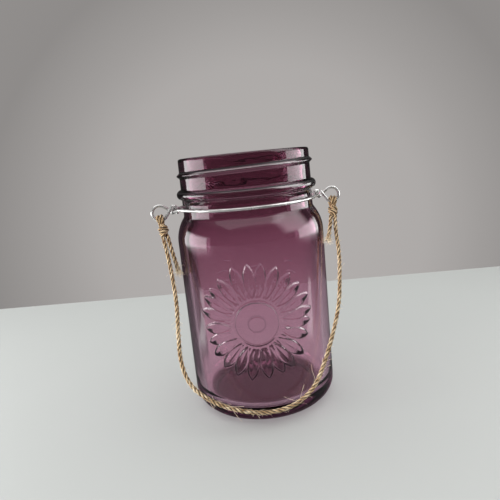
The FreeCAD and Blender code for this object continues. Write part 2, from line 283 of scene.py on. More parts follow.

# %% [markdown]
# ## Purple glass
# The jar is pressed glass, coloured right through, so it looks darkest where the light has the longest
# way to go. A tint on the surface alone would make it look like a thin bubble. So part of the colour is a
# Volume Absorption inside the glass, and a tint on the surface, deeper towards the neck, does the rest.
# Shade is also painted into the glass colour: at its steep edges, along its relief, along the thread and the
# bead, and in its floor. Layer Weight finds the steep edges, whose painted shade is weaker on the right of
# the body, so that side is painted paler. For the rest the jar's own tree leaves shares on its points:
# painted shade lines, shining edges and painted floor shade.

# %% Make the glass
JAR_HEIGHT = 140.0
GLASS_IOR, SHINE_IOR, SHINE_ROUGHNESS = 1.5, 2.4, 0.2
GLASS_DENSITY, GLASS_HOLDS = 45.0, (0.5, 0.2, 0.42)
GLASS_PALE, GLASS_MIDDLE, GLASS_DEEP = (0.904, 0.706, 0.782), (0.624, 0.366, 0.471), (0.371, 0.183, 0.249)
GLASS_TINTS = [(0.25, GLASS_PALE), (0.68, GLASS_MIDDLE), (0.8, GLASS_DEEP)]
# Painted shade: a darker tint over the inner floor
FLOOR_SHADE_TINT = (0.16, 0.09, 0.105)
# Painted shade: a near-black colour mixed into the glass along the petals' edges, the disc, the thread and
# the bead
SHADE_LINE_COLOUR, SHADE_LINE_SHARES, LINE_ROUGHNESS = (0.002, 0.001, 0.002), (0.12, 0.7), 0.5
# Painted shade at the steep edges, none near the floor, weaker on the right of the body so that side is
# painted paler
EDGE_SHADE_TINTS = [(0.52, (1, 1, 1)), (0.63, (0.06, 0.05, 0.06))]
ABOVE_FLOOR = (14 * MM, 24 * MM)
OPEN_RIGHT, OPEN_BELOW, EDGE_SHADE_ON_RIGHT = (8 * MM, 26 * MM), (96 * MM, 82 * MM), 0.35


def glass_material():
    """Clear purple glass, with shade painted into its colour at its steep edges, along its relief and in its
    floor.
    """
    material, tree, shader = new_material("purple glass")
    x, _, z = parts(tree, object_place(tree))
    tint = add_ramp(tree, z.between(0.0, JAR_HEIGHT * MM), *GLASS_TINTS)
    # Painted shade over the inner floor
    tint = mix_colours(tree, attribute(tree, "floor_shade"), tint, FLOOR_SHADE_TINT)
    # Painted shade lines along the relief, the thread and the bead, which are also made rougher there
    shade_lines = Field(tree, attribute(tree, "painted_shade_lines")).between(*SHADE_LINE_SHARES)
    tint = mix_colours(tree, shade_lines, tint, SHADE_LINE_COLOUR)
    # Painted shade: the base colour darkens where the surface turns away from the view, less on the right of
    # the body
    facing = add_node(tree, "ShaderNodeLayerWeight", Blend=0.5).outputs["Facing"]
    edge_shade = add_ramp(tree, facing, *EDGE_SHADE_TINTS)
    paler_right_side = x.between(*OPEN_RIGHT) * z.between(*OPEN_BELOW)
    edge_shade_share = z.between(*ABOVE_FLOOR) * paler_right_side.between(0.0, 1.0, (1.0, EDGE_SHADE_ON_RIGHT))
    values = {
        "Transmission Weight": 1.0,
        "IOR": GLASS_IOR,
        "Base Color": mix_colours(tree, edge_shade_share, tint, edge_shade, "MULTIPLY"),
        "Roughness": shade_lines * LINE_ROUGHNESS,
        "Coat Weight": attribute(tree, "petal_shine"),
        "Coat IOR": SHINE_IOR,
        "Coat Roughness": SHINE_ROUGHNESS,
    }
    set_inputs(tree, shader, values)
    absorb = made(tree, "ShaderNodeVolumeAbsorption", Color=(*GLASS_HOLDS, 1.0), Density=GLASS_DENSITY)
    fill(tree, tree.nodes["Material Output"].inputs["Volume"], absorb)
    return material


PURPLE_GLASS = glass_material()
print("material", PURPLE_GLASS.name)

# %% [markdown]
# ## Pieces from Geometry Nodes
# The jar's wall and the twine follow rules, so Geometry Nodes make them. Each tree has named inputs, takes
# a line of points or a mesh as its host, and may leave named values on its points for the finish. The result
# is kept as a plain mesh, and the host goes away.

# %% Helpers for Geometry Nodes
VECTOR = "FLOAT_VECTOR"
SOCKETS = {int: "NodeSocketInt", float: "NodeSocketFloat", tuple: "NodeSocketVector"}


def new_tree(name, sizes):
    """A geometry tree with an input named after each size, its inputs as fields, and its end."""
    tree = bpy.data.node_groups.new(name, "GeometryNodeTree")
    tree.interface.new_socket(name="Geometry", in_out="INPUT", socket_type="NodeSocketGeometry")
    for label, value in sizes.items():
        tree.interface.new_socket(name=label, in_out="INPUT", socket_type=SOCKETS[type(value)])
    tree.interface.new_socket(name="Geometry", in_out="OUTPUT", socket_type="NodeSocketGeometry")
    given = {slot.name: Field(tree, slot) for slot in tree.nodes.new("NodeGroupInput").outputs}
    return tree, given, tree.nodes.new("NodeGroupOutput")


def stored(tree, geometry, name, value, kind="FLOAT"):
    """Geometry with a named value left on its points."""
    inputs = {"Geometry": geometry, "Name": name, "Value": value}
    return made(tree, "GeometryNodeStoreNamedAttribute", {"data_type": kind}, **inputs)


def named(tree, name, kind="FLOAT"):
    """A named value, read back from the points."""
    return made(tree, "GeometryNodeInputNamedAttribute", {"data_type": kind}, Name=name)


def own(tree, name):
    """What each point knows of itself, such as its Position or its Normal."""
    return add_node(tree, "GeometryNodeInput" + name).outputs[name]


def close_tree(tree, end, geometry, material):
    """Realizes what a tree has made, gives it its material and hands it out."""
    real = made(tree, "GeometryNodeRealizeInstances", Geometry=geometry)
    finished = made(tree, "GeometryNodeSetMaterial", Geometry=real, Material=material)
    fill(tree, end.inputs["Geometry"], finished)
    print(tree.name, "tree:", len(tree.nodes), "nodes")
    return tree


def line_object(name, *lines):
    """One or more bare lines of points, which a tree can follow."""
    points, edges = [], []
    for line in lines:
        edges += [(len(points) + index, len(points) + index + 1) for index in range(len(line) - 1)]
        points += line
    mesh = bpy.data.meshes.new(name)
    mesh.from_pydata(points, edges, [])
    return new_object(name, mesh)


def plain_mesh(source):
    """A plain mesh of an object, as its curves and modifiers leave it."""
    ready = bpy.context.evaluated_depsgraph_get()
    return bpy.data.meshes.new_from_object(source.evaluated_get(ready), depsgraph=ready)


def grown(host, name, tree, values):
    """A plain mesh piece of what a tree makes of its host, which is then removed."""
    modifier = host.modifiers.new("tree", "NODES")
    modifier.node_group = tree
    for item in tree.interface.items_tree:
        if item.in_out == "INPUT" and item.name in values:
            modifier[item.identifier] = values[item.name]
    mesh = plain_mesh(host)
    mesh.name = name
    piece = new_object(name, mesh)
    host.modifiers.remove(modifier)
    bpy.data.objects.remove(host)
    print(name, len(mesh.vertices), "points", len(mesh.polygons), "faces")
    return piece


# %% [markdown]
# ## The jar's half section
# The real jar was pressed and blown in a mould, and all but its thread and flower is round. A lathe needs
# only the half section: up the outside from the middle of the foot, over the rim, and down the inside.
# The points stand closest where the sunflower and the thread will be.

# %% Draw the half section
BODY_RADIUS, NECK_RADIUS, FINISH_RADIUS = 40.8, 35.95, 35.7
WALL, FLOOR_THICKNESS, FLOOR_FILLET = 4.5, 7.0, 7.0
HEEL_RADIUS, FOOT_RING_WIDTH, PUSH_UP_DEPTH = 9.0, 2.8, 2.5
SHOULDER_RADIUS, NECK_FILLET, NECK_START = 22.0, 3.0, 109.8
BEAD_HEIGHT, BEAD_OVER_NECK, BEAD_HALF_WIDTH, RIM_ROUNDING = 120.9, 2.5, 2.6, 1.2
FLOWER_ROWS, THREAD_ROWS, BORE_ROWS = 150, 44, 24
FLOWER_LOW, FLOWER_HIGH = 25.5, 87.5


def arc(radius_at, height_at, radius, start, end, steps):
    """Points of an arc about a centre, angles in degrees."""
    turns = [radians(start + (end - start) * index / steps) for index in range(steps + 1)]
    return [(radius_at + radius * cos(turn), height_at + radius * sin(turn)) for turn in turns]


def run(start, end, steps):
    """Points strictly between two points, evenly spaced."""
    share = [index / steps for index in range(1, steps)]
    return [(start[0] + (end[0] - start[0]) * s, start[1] + (end[1] - start[1]) * s) for s in share]


def half_section():
    """The outside and the inside of the jar, as lists of (radius, height)."""
    foot_outer = BODY_RADIUS - HEEL_RADIUS
    foot_inner = foot_outer - FOOT_RING_WIDTH
    bore, inside = FINISH_RADIUS - WALL, BODY_RADIUS - WALL
    crown_at, fillet_at = BODY_RADIUS - SHOULDER_RADIUS, NECK_RADIUS + NECK_FILLET
    reach = SHOULDER_RADIUS + NECK_FILLET
    slope = degrees(acos((fillet_at - crown_at) / reach))
    shoulder = NECK_START - reach * sin(radians(slope))
    dome = (foot_inner**2 + PUSH_UP_DEPTH**2) / (2 * PUSH_UP_DEPTH)
    dome_half = degrees(asin(foot_inner / dome))
    bead = (BEAD_HALF_WIDTH**2 + BEAD_OVER_NECK**2) / (2 * BEAD_OVER_NECK)
    bead_half = degrees(atan2(BEAD_HALF_WIDTH, bead - BEAD_OVER_NECK))
    rim_at = JAR_HEIGHT - RIM_ROUNDING
    flower_low, flower_high = (BODY_RADIUS, FLOWER_LOW), (BODY_RADIUS, FLOWER_HIGH)
    outside = [
        *arc(0, PUSH_UP_DEPTH - dome, dome, 90, 90 - dome_half, 6),
        *arc(foot_outer, HEEL_RADIUS, HEEL_RADIUS, -90, 0, 7),
        *run((BODY_RADIUS, HEEL_RADIUS), flower_low, 3),
        flower_low,
        *run(flower_low, flower_high, FLOWER_ROWS),
        flower_high,
        *run(flower_high, (BODY_RADIUS, shoulder), 2),
        *arc(crown_at, shoulder, SHOULDER_RADIUS, 0, slope, 11),
        *arc(fillet_at, NECK_START, NECK_FILLET, 180 + slope, 180, 5)[1:],
        *run((NECK_RADIUS, NECK_START), (NECK_RADIUS, BEAD_HEIGHT - BEAD_HALF_WIDTH), 3),
        *arc(NECK_RADIUS + BEAD_OVER_NECK - bead, BEAD_HEIGHT, bead, -bead_half, bead_half, 10),
        *run((NECK_RADIUS, BEAD_HEIGHT + BEAD_HALF_WIDTH), (FINISH_RADIUS, rim_at), THREAD_ROWS),
        *arc(FINISH_RADIUS - RIM_ROUNDING, rim_at, RIM_ROUNDING, 0, 90, 4),
    ]
    inner_crown, inner_fillet = SHOULDER_RADIUS - WALL, NECK_FILLET + WALL
    inner_reach = inner_crown + inner_fillet
    inner_slope = degrees(acos((bore + inner_fillet - inside + inner_crown) / inner_reach))
    inner_start = shoulder + inner_reach * sin(radians(inner_slope))
    floor_at = (inside, FLOOR_THICKNESS + FLOOR_FILLET)
    within = [
        *arc(bore + RIM_ROUNDING, rim_at, RIM_ROUNDING, 90, 180, 4),
        *run((bore, rim_at), (bore, inner_start), BORE_ROWS),
        *arc(bore + inner_fillet, inner_start, inner_fillet, 180, 180 + inner_slope, 5),
        *arc(inside - inner_crown, shoulder, inner_crown, inner_slope, 0, 8)[1:],
        *run((inside, shoulder), floor_at, 12),
        *arc(inside - FLOOR_FILLET, floor_at[1], FLOOR_FILLET, 0, -90, 7),
        *run((inside - FLOOR_FILLET, FLOOR_THICKNESS), (0, FLOOR_THICKNESS), 4),
        (0.0, FLOOR_THICKNESS),
    ]
    return outside, within


outside, within = half_section()
section_points = [(radius * MM, 0.0, height * MM) for radius, height in outside + within]
print("half section:", len(outside), "points outside,", len(within), "inside")

# %% [markdown]
# ## The sunflower
# The petals come from one formula, repeated round the disc with a little difference from petal to petal, as
# a mould cutter's hand would leave. The formula gives a height for any point of the wall. It also gives the
# edges that face down, where shade is painted into the glass colour, and those that face up, which shine.

# %% Write the sunflower as heights
SECTORS = [(216, 92.0), (16, 88.0), (60, 92.0), (16, 88.0)]
JAR_SIZES = {
    "Columns": sum(columns for columns, _ in SECTORS),
    "Outer Rows": len(outside),
    "Flower Height": 56.5 * MM,
    "Disc Radius": 11.3 * MM,
    "Petal Tip": 30.3 * MM,
    "Petal Half Width": 3.1 * MM,
    "Upper Relief": 0.85 * MM,
    "Lower Relief": 0.5 * MM,
    "Thread Height": 132.3 * MM,
    "Thread Pitch": 5.3 * MM,
    "Thread Crest": 1.5 * MM,
    "Thread Half Width": 1.75 * MM,
    "Ripple": 0.16 * MM,
}
PETALS, FIRST_PETAL, FIRST_BRACT = 12, 0.1, 0.2
PETAL_EDGE, PETAL_CREASE, PETAL_SWAY, TIP_SWAY = 0.85 * MM, 0.16 * MM, 0.07, 0.9 * MM
PETAL_GAP, LOWER_EXTRA, BRACT_REACH = 1.3 * MM, 0.4 * MM, 6 * MM


def petal_ring(span, turn, root, tip, half_width, relief, first, count):
    """The height of a ring of pointed petals about the flower's middle, their shaded and their lit edges."""
    step = tau / count
    place = (turn - first) / step
    number = place.math("ROUND")
    sway = (number * (tau * 5 / count) + 0.7).math("SINE")
    aside = (place - number + sway * PETAL_SWAY) * step
    reach = (number * (tau * 7 / count) + 2.1).math("SINE") * TIP_SWAY + tip
    out = span * aside.math("COSINE")
    share = ((out - root) / (reach - root)).clamped()
    side = abs(span * aside.math("SINE"))
    width = share.math("POWER", 0.9) * share.less_from(1.0).math("POWER", 0.75) * 3.2 * half_width
    body = (width - side).smooth(0.0, PETAL_EDGE)
    crease = side.smooth(0.75 * MM, 0.0) * (share.less_from(0.85).smooth(0.0, 0.4)) * PETAL_CREASE
    edge = body * body.less_from(1.0) * 4.0
    near = (width - side + 0.5 * MM).smooth(0.0, 1.5 * MM) * (out - reach).smooth(0.5 * MM, 0.0)
    middle = number * step + first
    point = share.math("POWER", 4.0)
    lift = middle.math("SINE") * point + aside.math("SIGN") * middle.math("COSINE") * point.less_from(1.0)
    # Painted shade: edges that face down, and the lower side of the tips of the side petals, are darkened
    shaded = near * near.less_from(1.0) * 4.0 * lift.smooth(0.55, 0.0) * (point * 2.6 + share * 0.4)
    tip_shade = body * share.smooth(0.6, 0.8) * lift.smooth(0.3, -0.1) * abs(middle.math("COSINE"))
    return body * (relief - crease), largest(shaded.clamped(), tip_shade), edge * lift.smooth(0.15, 0.7)


def sunflower(size, across, rise):
    """The heights of the flower, its shaded and its lit edges, by the place from its middle."""
    span = (across * across + rise * rise).math("SQRT")
    turn = rise.math("ARCTAN2", across)
    disc, tip, width = size["Disc Radius"], size["Petal Tip"], size["Petal Half Width"]
    high, low = size["Upper Relief"], size["Lower Relief"]
    root = disc + PETAL_GAP
    second = FIRST_PETAL + pi / PETALS
    rings = [
        petal_ring(span, turn, root, tip, width, high, FIRST_PETAL, PETALS),
        petal_ring(span, turn, root, tip + LOWER_EXTRA, width, low, second, PETALS),
        petal_ring(span, turn, root, disc + BRACT_REACH, width * 0.3, high * 0.6, FIRST_BRACT, PETALS * 2),
    ]
    upper, lower, bract = (height for height, _, _ in rings)
    button = (disc - span).smooth(0.0, PETAL_EDGE)
    rim = button * button.less_from(1.0) * 4.0
    ring = abs(span - disc * 0.37).smooth(0.9 * MM, 0.1 * MM)
    collar = abs(span - disc - 0.9 * MM).smooth(0.8 * MM, 0.2 * MM) * (0.35 * MM)
    centre = largest(button * high + ring * (0.3 * MM), collar)
    shown = (lower - upper).math("GREATER_THAN", 0.0)
    # Painted shade along the petals' edges, the disc's rim and its inner ring
    dark = largest(rings[0][1], rings[1][1] * shown, rim * 0.62, ring * 0.34)
    lit = largest(rings[0][2], rings[1][2] * shown, rings[2][2] * 0.6)
    return largest(upper, lower, bract, centre), dark, lit


print("sunflower of two rings of", PETALS, "petals")

# %% [markdown]
# ## The jar's wall
# A screw thread could be a sweep and petals could be instances, but separate shapes that only overlap
# would show as glass inside glass. So the wall stays one closed skin, and a tree moves its points: it
# wraps a grid round the axis with the columns closest on the front and back, then adds the thread line and
# the sunflower as heights. The flower at the back is shallower, and only the front one gets painted edge
# shade.

# %% Build the jar's tree
FLOWER_TURN, BACK_LOSS = radians(-9.4), -0.4
LINE_BAND = (0.65 * MM, 0.15 * MM)
BEAD_DARK, BEAD_LIT, THREAD_DARK, THREAD_LIT = 1.6 * MM, 0.6 * MM, 1.3 * MM, 0.35 * MM
THREAD_END, THREAD_FULL = radians(205), radians(172)
FLOOR_BAND = (8.6 * MM, 7.2 * MM)
RIPPLES = [(0.7, 70.0, 1.0), (3.5, 90.0, 2.0)]
NECK_BAND, NECK_GAIN = (112 * MM, 122 * MM), 4.0


def thread_line(size, height, front):
    """A ridge that climbs to the right, and the shaded and the lit line along it and along the bead."""
    above_bead = height - BEAD_HEIGHT * MM
    ridge = height.constant(0.0)
    # Painted shade: a dark line above the crest of the bead and of the thread; the lit lines get the shining
    # coat
    dark = abs(above_bead - BEAD_DARK).smooth(*LINE_BAND)
    lit = abs(above_bead - BEAD_LIT).smooth(*LINE_BAND)
    for lead in (0.0, tau, -tau):
        about = front + lead
        above = height - (about * size["Thread Pitch"] / tau + size["Thread Height"])
        present = abs(about).smooth(THREAD_END, THREAD_FULL)
        crest = (abs(above) / size["Thread Half Width"]).less_from(1.0).smooth(0.0, 1.0)
        ridge = largest(ridge, crest * present * size["Thread Crest"])
        dark = largest(dark, abs(above - THREAD_DARK).smooth(*LINE_BAND) * present)
        lit = largest(lit, abs(above - THREAD_LIT).smooth(*LINE_BAND) * present)
    return ridge, dark, lit


def jar_tree():
    """The tree that wraps the half section into a closed wall with a thread line and a sunflower."""
    tree, size, end = new_tree("Jar wall", JAR_SIZES)
    section = size["Geometry"]
    rows = Field(tree, made(tree, "GeometryNodeAttributeDomainSize", Geometry=section))
    grid = made(tree, "GeometryNodeMeshGrid", Vertices_X=size["Columns"] + 1.0, Vertices_Y=rows)
    index = Field(tree, own(tree, "Index"))
    column = (index / rows + 0.0001).math("FLOOR")
    row = index - column * rows
    sample = {"Geometry": section, "Value": own(tree, "Position"), "Index": row}
    radius, _, height = parts(tree, made(tree, "GeometryNodeSampleIndex", {"data_type": VECTOR}, **sample))
    outer = (size["Outer Rows"] - row).clamped()
    inner = outer.less_from(1.0)

    # Columns: fine steps over the front flower, middling ones over the back flower, wide ones between
    turn = column.constant(radians(SECTORS[0][1] / -2))
    passed = 0
    for columns, angle in SECTORS:
        turn = turn + ((column - passed) / columns).clamped() * radians(angle)
        passed += columns
    behind = turn.math("GREATER_THAN", pi / 2)
    across = (turn - behind * pi) * (BODY_RADIUS * MM)
    front = turn + FLOWER_TURN

    # Heights, and the shares the glass finish reads: painted shade lines, shining coat, painted floor shade
    relief, dark, lit = sunflower(size, across, height - size["Flower Height"])
    ridge, line_dark, line_lit = thread_line(size, height, front)
    relief = relief * (behind * BACK_LOSS + 1.0)
    on_front = behind.less_from(1.0) * outer
    shares = {
        "painted_shade_lines": largest(dark * on_front, line_dark * outer),
        "petal_shine": largest(lit, line_lit) * on_front,
        # Painted shade: the inner floor's share of the darker floor tint
        "floor_shade": inner * height.smooth(*FLOOR_BAND),
    }

    # Place the points, with a slow ripple in the inner skin that is stronger in the neck
    bent_x, bent_y = front.math("SINE"), front.math("COSINE") * -1.0
    waves = []
    for stretch, scale, detail in RIPPLES:
        unbent = vector_of(tree, bent_x * radius, bent_y * radius, height * stretch)
        noise = made(tree, "ShaderNodeTexNoise", Vector=unbent, Scale=scale, Detail=detail)
        waves.append(Field(tree, noise) - 0.5)
    wave = (waves[0] + waves[1] * height.smooth(*NECK_BAND) * NECK_GAIN) * size["Ripple"]
    ripple = wave * inner * (radius / (30 * MM)).clamped()
    final = radius + (relief + ridge) * outer + ripple
    wrapped = vector_of(tree, bent_x * final, bent_y * final, height)
    kept = made(tree, "GeometryNodeSetPosition", Geometry=grid, Position=wrapped)
    for name, share in shares.items():
        kept = stored(tree, kept, name, share)
    merged = made(tree, "GeometryNodeMergeByDistance", Geometry=kept, Distance=1e-6)
    shaded = made(tree, "GeometryNodeSetShadeSmooth", Geometry=merged)
    return close_tree(tree, end, shaded, PURPLE_GLASS)


jar = grown(line_object("half section", section_points), "jar", jar_tree(), JAR_SIZES)
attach(jar, "jar")
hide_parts("jar_glass")
jar.visible_shadow = False

# %% [markdown]
# ## Galvanised wire
# The collar is bright 1.6 mm steel wire. Its zinc coat is smooth but cloudy, with fine drawing lines. The
# solid model already has the right bends, so its two wires stay as they are and only get the finish.

# %% Make the wire finish
ZINC_DARK, ZINC_LIGHT = (0.66, 0.66, 0.65), (0.86, 0.86, 0.85)


def wire_material():
    """Bright zinc on drawn wire."""
    material, tree, shader = new_material("galvanised wire")
    clouds, grain = add_mottling(tree, object_place(tree), cloud_scale=260.0, grain_scale=2600.0)
    values = {
        "Metallic": 0.75,
        "Base Color": add_ramp(tree, clouds, (0.3, ZINC_DARK), (0.7, ZINC_LIGHT)),
        "Roughness": clouds.between(0.0, 1.0, (0.16, 0.34)),
    }
    set_inputs(tree, shader, values)
    add_bump(tree, shader, grain, strength=0.15, distance=0.05 * MM)
    return material


WIRE = wire_material()
for name in ("back_wire", "front_wire"):
    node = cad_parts[name]
    node.data.materials.clear()
    node.data.materials.append(WIRE)
print("wire finish on", len(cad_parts["back_wire"].data.polygons), "faces")

# %% [markdown]
# ## Jute
# Jute twine is three plies of straw-coloured fibre. Each ply is a bundle of fibres with a twist of its
# own, so light and dark streaks run slantwise along it. The streaks have to follow the ply and not the
# room, so they are drawn on an attribute that the twine's tree leaves on its points: the place on the ply
# as if it were untwisted and laid straight. A second attribute is used for painted shade in the grooves
# between the plies.

# %% Make the jute finish
JUTE_DARK, JUTE_MID, JUTE_LIGHT = (0.2, 0.105, 0.04), (0.52, 0.37, 0.2), (0.84, 0.72, 0.52)
JUTE_PALE = (0.9, 0.82, 0.66)
GROOVE_SHADE = (0.07, 0.04, 0.02)
PLY_TONES = [(0.4, JUTE_DARK), (0.51, JUTE_MID), (0.65, JUTE_LIGHT)]
FIBRE_TONES = [(0.65, JUTE_LIGHT), (0.8, JUTE_PALE)]
STREAK_STRETCH = (1.0, 1.0, 0.12)


def jute_material(name, streaked):
    """Straw-coloured fibre, streaked along the ply where it has one, with painted shade in the grooves
    between plies.
    """
    material, tree, shader = new_material(name)
    if streaked:
        place = attribute(tree, "ply_place", "Vector")
        place = made(tree, "ShaderNodeMapping", Vector=place, Scale=STREAK_STRETCH)
    else:
        place = object_place(tree)
    clouds, grain = add_mottling(tree, place, cloud_scale=900.0, grain_scale=3800.0)
    colour = add_ramp(tree, clouds * 0.55 + grain * 0.45, *(PLY_TONES if streaked else FIBRE_TONES))
    if streaked:
        # Painted shade in the grooves between the plies
        groove = add_ramp(tree, attribute(tree, "groove"), (0.62, GROOVE_SHADE), (0.97, (1, 1, 1)))
        colour = mix_colours(tree, 1.0, colour, groove, "MULTIPLY")
    values = {
        "Base Color": colour,
        "Roughness": 0.85,
        "Specular IOR Level": 0.25,
        "Sheen Weight": 0.25,
        "Sheen Roughness": 0.5,
    }
    set_inputs(tree, shader, values)
    add_bump(tree, shader, grain, strength=0.6, distance=0.25 * MM)
    return material


JUTE = jute_material("jute twine", True)
JUTE_FIBRE = jute_material("jute fibre", False)
print("materials", JUTE.name, JUTE_FIBRE.name)

# %% [markdown]
# ## Three plies
# A rope could be a plain tube with a bump, but its outline would be smooth, and twine is never smooth.
# A tree walks along the line of the twine, turns three lines about it, and gives each a round skin.
# It leaves the place on the ply and the way of the ply on the points, for the finish and for the fibres.

# %% Build the twine tree
TWINE_SIZES = {
    "Step": 0.34 * MM,
    "Ply Radius": 0.51 * MM,
    "Ply Offset": 0.63 * MM,
    "Lay Length": 8.6 * MM,
    "Unevenness": 0.16,
}
PLIES, PLY_SIDES = 3, 9
PLY_TWIST, PLY_SHIFT = 1.6, 0.31
WANDER_SCALE, WANDER_SHIFT = 180.0, 7.3


def twine_tree():
    """The tree that twists three plies along a line."""
    tree, size, end = new_tree("Twisted twine", TWINE_SIZES)
    radius, lay = size["Ply Radius"], size["Lay Length"]
    curve = made(tree, "GeometryNodeMeshToCurve", Mesh=size["Geometry"])
    line = made(tree, "GeometryNodeResampleCurve", {"mode": "LENGTH"}, Curve=curve, Length=size["Step"])
    along = Field(tree, add_node(tree, "GeometryNodeSplineParameter").outputs["Length"])
    where, tangent, normal = (own(tree, name) for name in ("Position", "Tangent", "Normal"))
    cross = vector_math(tree, "CROSS_PRODUCT", tangent, normal)
    line = stored(tree, line, "along", along)
    line = stored(tree, line, "ply_way", tangent, VECTOR)
    line = stored(tree, line, "heart", where, VECTOR)
    profile = made(tree, "GeometryNodeCurvePrimitiveCircle", Resolution=PLY_SIDES, Radius=radius)
    share = add_node(tree, "GeometryNodeSplineParameter").outputs["Factor"]
    profile = stored(tree, profile, "around", share)
    joined = tree.nodes.new("GeometryNodeJoinGeometry")
    for ply in range(PLIES):
        # Lay the ply's line about the twine's own
        shifted = along * WANDER_SCALE + ply * WANDER_SHIFT
        wander = made(tree, "ShaderNodeTexNoise", {"noise_dimensions": "1D"}, W=shifted, Scale=1.0)
        uneven = (Field(tree, wander) - 0.5) * size["Unevenness"]
        twist = along / lay * tau + uneven * 2.0 + ply * tau / PLIES
        aside = vector_math(tree, "SCALE", normal, Scale=twist.math("COSINE") * size["Ply Offset"])
        ahead = vector_math(tree, "SCALE", cross, Scale=twist.math("SINE") * size["Ply Offset"])
        offset = vector_math(tree, "ADD", aside, ahead)
        laid = made(tree, "GeometryNodeSetPosition", Geometry=line, Offset=offset)
        laid = made(tree, "GeometryNodeSetCurveRadius", Curve=laid, Radius=uneven + 1.0)
        skin = made(tree, "GeometryNodeCurveToMesh", Curve=laid, Profile_Curve=profile, Fill_Caps=True)

        # Leave the place on the ply, laid straight, and how far out it is
        around, passed = (Field(tree, named(tree, name)) for name in ("around", "along"))
        angle = around * tau + passed / lay * (tau * PLY_TWIST)
        x, y = angle.math("COSINE") * radius, angle.math("SINE") * radius
        straight = vector_of(tree, x, y, passed + ply * PLY_SHIFT)
        apart = vector_math(tree, "DISTANCE", where, named(tree, "heart", VECTOR))
        skin = stored(tree, skin, "ply_place", straight, VECTOR)
        skin = stored(tree, skin, "groove", Field(tree, apart) / (radius + size["Ply Offset"]))
        fill(tree, joined.inputs[0], skin)
    smooth = made(tree, "GeometryNodeSetShadeSmooth", Geometry=joined.outputs[0])
    return close_tree(tree, end, smooth, JUTE)


TWINE_TREE = twine_tree()

# %% [markdown]
# ## The line of the handle
# The handle is one length of twine that hangs from eye to eye in front of the jar, slack, so that it swings
# low over the jar's heel. Its line is a smooth spline with a few route points, not a chain of bends.
# Blender gives its points back when the curve has no bevel, and the plies follow those points.

# %% Lay the handle
HANDLE_ROUTE = [
    (-48.52, -4.93, 99.88), (-47.33, -7.65, 93.32), (-46.0, -12.8, 79.1), (-45.3, -18.1, 65.1),
    (-46.4, -23.8, 50.5), (-46.9, -29.9, 37.2), (-43.6, -34.9, 27.0), (-36.4, -38.5, 20.3),
    (-28.1, -41.0, 15.7), (-18.3, -42.2, 11.7), (-7.6, -42.8, 9.1), (3.2, -42.8, 9.3), (12.2, -41.9, 12.0),
    (20.5, -39.6, 17.1), (27.8, -35.0, 27.1), (35.1, -29.4, 40.0), (41.9, -23.1, 54.5), (45.3, -16.6, 68.8),
    (47.5, -11.4, 81.3), (47.33, -7.65, 93.32), (48.52, -4.93, 99.88),
]
TAIL_ROUTES = {
    "left": [(-46.06, -4.77, 100.26), (-45.56, -5.9, 97.52), (-44.3, -9.0, 90.6), (-42.5, -9.8, 81.2)],
    "right": [(46.06, -4.77, 100.26), (45.56, -5.9, 97.52), (43.5, -8.6, 92.6), (42.3, -9.2, 88.4)],
}
SPLINE_STEPS = 24


def smooth_line(name, route):
    """Points read from a smooth spline that has the route's points, in millimetres, as its controls."""
    data = bpy.data.curves.new(name, "CURVE")
    data.dimensions = "3D"
    data.resolution_u = SPLINE_STEPS
    spline = data.splines.new("NURBS")
    spline.points.add(len(route) - 1)
    for point, place in zip(spline.points, route):
        point.co = (*(Vector(place) * MM), 1.0)
    spline.order_u = 3
    spline.use_endpoint_u = True
    curve = new_object(name, data)
    mesh = plain_mesh(curve)
    points = [vertex.co.copy() for vertex in mesh.vertices]
    bpy.data.objects.remove(curve)
    bpy.data.meshes.remove(mesh)
    length = sum((after - before).length for before, after in zip(points, points[1:]))
    print(name, len(points), "points", round(length / MM, 1), "mm")
    return points, length


def twine_piece(name, *lines):
    """Twisted twine along lines of points."""
    piece = grown(line_object(name + " line", *lines), name, TWINE_TREE, TWINE_SIZES)
    return piece


handle_points, handle_length = smooth_line("handle line", HANDLE_ROUTE)
handle = twine_piece("handle", handle_points)
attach(handle, "handle")
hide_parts("twine_handle")

# %% [markdown]
# ## The hitches, loops and tails
# At each end the twine goes twice over the bottom of the eye, is drawn tight in a little over two turns round
# itself, and ends in a short tail. The same tree makes these along their own lines. A loop follows the eye
# at its top and the handle below.

# %% Tie the twine to the eyes
HANDLE_LEAN, HANDLE_TOE_IN = radians(22.5), radians(9.5)
FORWARD = Vector((0, -cos(HANDLE_LEAN), sin(HANDLE_LEAN)))
EYE_SEAT, HITCH_DROP, HITCH_LENGTH = Vector((48.807, -1.378, 108.45)), 3.2, 6.0
LOOP_RADIUS, LOOP_SHIFTS, LOOP_TUCK = 2.25, (-0.95, 0.95), 0.6
STRAND_OFFSET, STRAND_LEAD = 1.25, 0.8
PAIR_TURNS, WRAP_TURNS, WRAP_RADIUS, WRAP_FIRST = 1.25, 2.3, 1.9, 0.6
WRAP_DROP, WRAP_LENGTH, KNOT_STEPS = 0.2, 4.4, 20


def knot_frame(side):
    """The seat at an eye, the top of the hitch, and the ways down and outward there."""
    lean = Vector((0, -sin(HANDLE_LEAN), -cos(HANDLE_LEAN)))
    down = lean * cos(HANDLE_TOE_IN) - Vector((side * sin(HANDLE_TOE_IN), 0, 0))
    seat = Vector((EYE_SEAT.x * side, EYE_SEAT.y, EYE_SEAT.z))
    return seat, seat + down * HITCH_DROP, down, FORWARD.cross(down) * side


